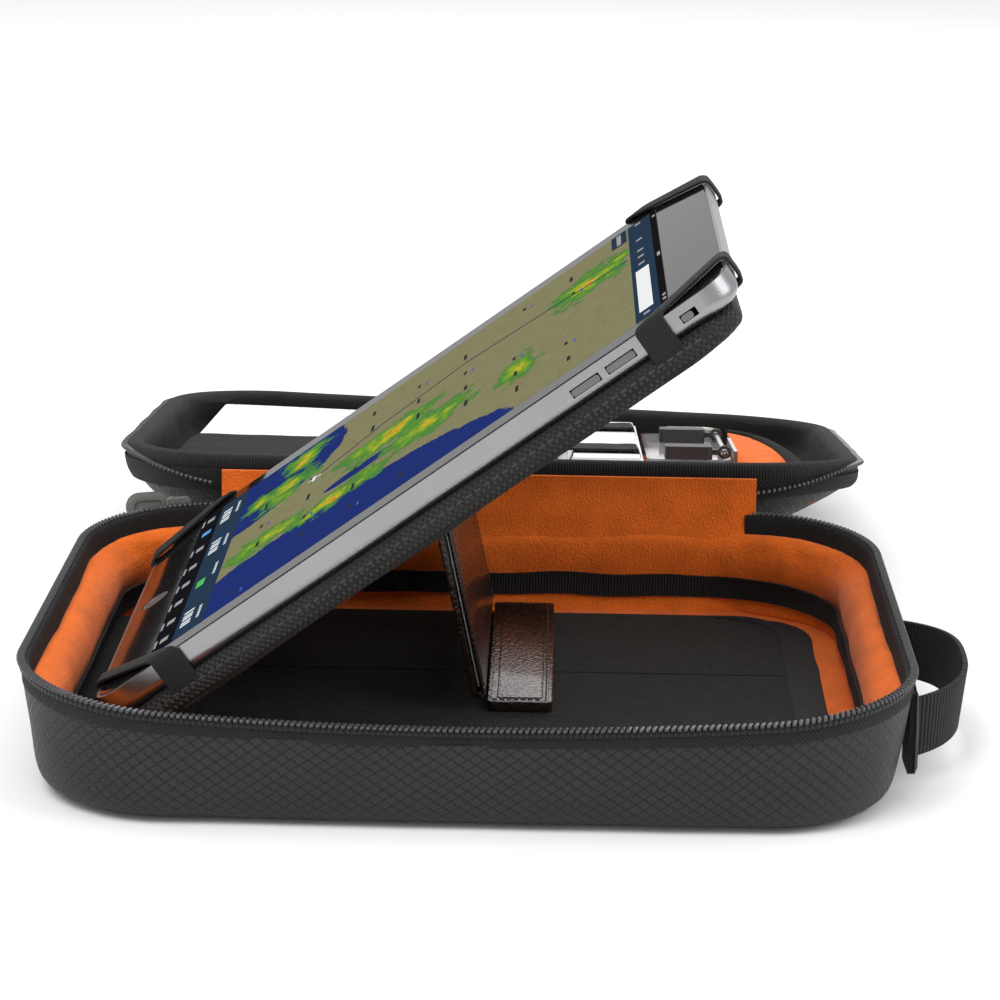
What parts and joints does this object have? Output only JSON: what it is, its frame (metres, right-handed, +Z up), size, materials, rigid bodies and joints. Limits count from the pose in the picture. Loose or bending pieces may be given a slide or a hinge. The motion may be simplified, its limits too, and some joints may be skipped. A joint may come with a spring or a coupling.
{
  "type": "moving-map tablet flight case",
  "caption": "Soft zippered flight case, open, with a moving-map tablet on a hinged padded board, a folding leatherette stand, a lid of pockets and loops, and a carry handle.",
  "frame": {"origin": "middle of the tray's underside, where it stands on the table", "axes": "+X along the tray towards the carry handle, +Y to the back where the lid lies open, +Z up"},
  "size_m": [0.3087, 0.4508, 0.1777],
  "materials": {
    "ripstop": "black diamond ripstop",
    "foam": "soft foam",
    "stiffener": "sheet plastic",
    "orange_fleece": "brushed fleece",
    "black_fleece": "brushed knit",
    "woven_binding": "ribbed woven tape",
    "zip_tape": "woven tape",
    "zip_coil": "dark grey nylon coil",
    "zip_metal": "grey pull",
    "loop_pile": "loop pile",
    "webbing": "webbing",
    "elastic": "ribbed elastic",
    "board_nylon": "ballistic nylon",
    "board_core": "rigid sheet",
    "leatherette": "glossy dark brown",
    "paper": "white paper",
    "ruled_paper": "ruled paper",
    "pen_body": "black pen barrel",
    "clear_plastic": "clear plastic",
    "valve": "white plastic",
    "silver": "polished wire",
    "key_head": "black moulded head",
    "aluminium": "bead blasted",
    "glass": "black bordered glass",
    "display": "lit display",
    "battery": "foil cell",
    "button_black": "gloss black",
    "button_metal": "anodised"
  },
  "bodies": {
    "tray": {"tray_shell": "ripstop", "tray_foam": "foam", "tray_base_board": "stiffener", "tray_wall_lining": "orange_fleece", "tray_floor_lining": "orange_fleece", "tray_wall_band": "woven_binding", "tray_zip_tape": "zip_tape", "tray_zip_teeth": "zip_coil", "floor_loop_panel": "loop_pile", "floor_panel_binding": "woven_binding", "handle_tab_front": "ripstop", "handle_tab_back": "ripstop", "hinge_gusset": "orange_fleece", "board_hinge_flap": "black_fleece", "stand_foot": "leatherette"},
    "handle": {"handle_webbing": "webbing"},
    "zip_slider": {"zip_slider": "zip_metal"},
    "zip_pull": {"zip_pull": "zip_metal"},
    "lid": {"lid_shell": "ripstop", "lid_stiffener": "stiffener", "lid_foam": "foam", "lid_wall_lining": "black_fleece", "lid_floor_lining": "orange_fleece", "lid_zip_tape": "zip_tape", "lid_zip_teeth": "zip_coil", "lid_front_roll": "woven_binding", "lid_pocket_left": "black_fleece", "pocket_left_pad": "black_fleece", "elastic_loop_front": "elastic", "elastic_loop_back": "elastic", "checklist_deck": "paper", "sampler_cup": "clear_plastic", "key_shackle": "silver", "spring_clip": "silver", "lid_pocket_right": "orange_fleece", "pocket_right_binding": "woven_binding"},
    "notepad": {"notepad_pages": "ruled_paper"},
    "pen_a": {"pen_a": "pen_body"},
    "pen_b": {"pen_b": "pen_body"},
    "sampler_valve": {"sampler_valve": "valve"},
    "key_a": {"key_a": "key_head"},
    "key_b": {"key_b": "key_head"},
    "board": {"board_cover": "board_nylon", "board_core": "board_core", "strap_low_near": "elastic", "strap_low_far": "elastic", "strap_high_near": "elastic", "strap_high_far": "elastic", "tablet_housing": "aluminium", "tablet_glass": "glass", "display_panel": "display", "battery": "battery"},
    "home_button": {"home_button": "button_black"},
    "volume_up": {"volume_up": "button_black"},
    "volume_down": {"volume_down": "button_black"},
    "mute_switch": {"mute_switch": "button_metal"},
    "sleep_button": {"sleep_button": "button_metal"},
    "stand": {"stand_panel": "leatherette", "stand_pocket": "leatherette"},
    "stand_card": {"stand_card": "paper"}
  },
  "joints": [
    {"name": "lid_hinge", "type": "hinge", "parent": "tray", "child": "lid", "pos_m": [0, 0.11334, 0.05344], "axis": [1, 0, 0], "range_deg": [0, 188.7], "deforming": ["hinge_gusset"]},
    {"name": "board_tilt", "type": "hinge", "parent": "tray", "child": "board", "pos_m": [-0.117, 0, 0.03], "axis": [0, 1, 0], "range_deg": [0, 33]},
    {"name": "stand_fold", "type": "hinge", "parent": "tray", "child": "stand", "pos_m": [0.006, 0.0405, 0.0129], "axis": [0, 1, 0], "range_deg": [0, 102]},
    {"name": "handle_swing", "type": "hinge", "parent": "tray", "child": "handle", "pos_m": [0.1475, -0.015, 0.022], "axis": [0, -1, 0], "range_deg": [-25, 25]},
    {"name": "zip_travel", "type": "hinge", "parent": "tray", "child": "zip_slider", "pos_m": [-0.095, 0.064, 0.043], "axis": [0, 0, 1], "range_deg": [0, 65]},
    {"name": "zip_pull_swing", "type": "hinge", "parent": "zip_slider", "child": "zip_pull", "pos_m": [-0.11528, 0.11387, 0.043], "axis": [0, 0, -1], "range_deg": [0, 30]},
    {"name": "notepad_slide", "type": "slide", "parent": "lid", "child": "notepad", "axis": [0, 0.9885, -0.1513], "range_m": [-0.012, 0.005]},
    {"name": "pen_a_slide", "type": "slide", "parent": "lid", "child": "pen_a", "axis": [0, 0.9885, -0.1513], "range_m": [-0.038, 0.018]},
    {"name": "pen_b_slide", "type": "slide", "parent": "lid", "child": "pen_b", "axis": [0, 0.9885, -0.1513], "range_m": [-0.038, 0.018]},
    {"name": "sampler_valve_pull", "type": "slide", "parent": "lid", "child": "sampler_valve", "axis": [0, -0.9885, 0.1513], "range_m": [0, 0.012]},
    {"name": "key_a_slide", "type": "slide", "parent": "lid", "child": "key_a", "axis": [0, 0.9885, -0.1513], "range_m": [-0.005, 0.033]},
    {"name": "key_b_slide", "type": "slide", "parent": "lid", "child": "key_b", "axis": [0, 0.9885, -0.1513], "range_m": [-0.018, 0.006]},
    {"name": "home_press", "type": "slide", "parent": "board", "child": "home_button", "axis": [0.5878, 0, -0.809], "range_m": [0, 0.0004], "stiffness_N_per_m": 2500},
    {"name": "volume_up_press", "type": "slide", "parent": "board", "child": "volume_up", "axis": [0, 1, 0], "range_m": [0, 0.0004], "stiffness_N_per_m": 3000},
    {"name": "volume_down_press", "type": "slide", "parent": "board", "child": "volume_down", "axis": [0, 1, 0], "range_m": [0, 0.0004], "stiffness_N_per_m": 3000},
    {"name": "mute_slide", "type": "slide", "parent": "board", "child": "mute_switch", "axis": [0.809, 0, 0.5878], "range_m": [0, 0.0012]},
    {"name": "sleep_press", "type": "slide", "parent": "board", "child": "sleep_button", "axis": [-0.809, 0, -0.5878], "range_m": [0, 0.0004], "stiffness_N_per_m": 3000},
    {"name": "stand_card_slide", "type": "slide", "parent": "stand", "child": "stand_card", "axis": [0, -1, 0], "range_m": [0, 0.055]}
  ],
  "couplings": [
    {"joint": "board_tilt", "follows": "lid_hinge", "ratio": 0.17488},
    {"joint": "stand_fold", "follows": "lid_hinge", "ratio": 0.54054}
  ]
}
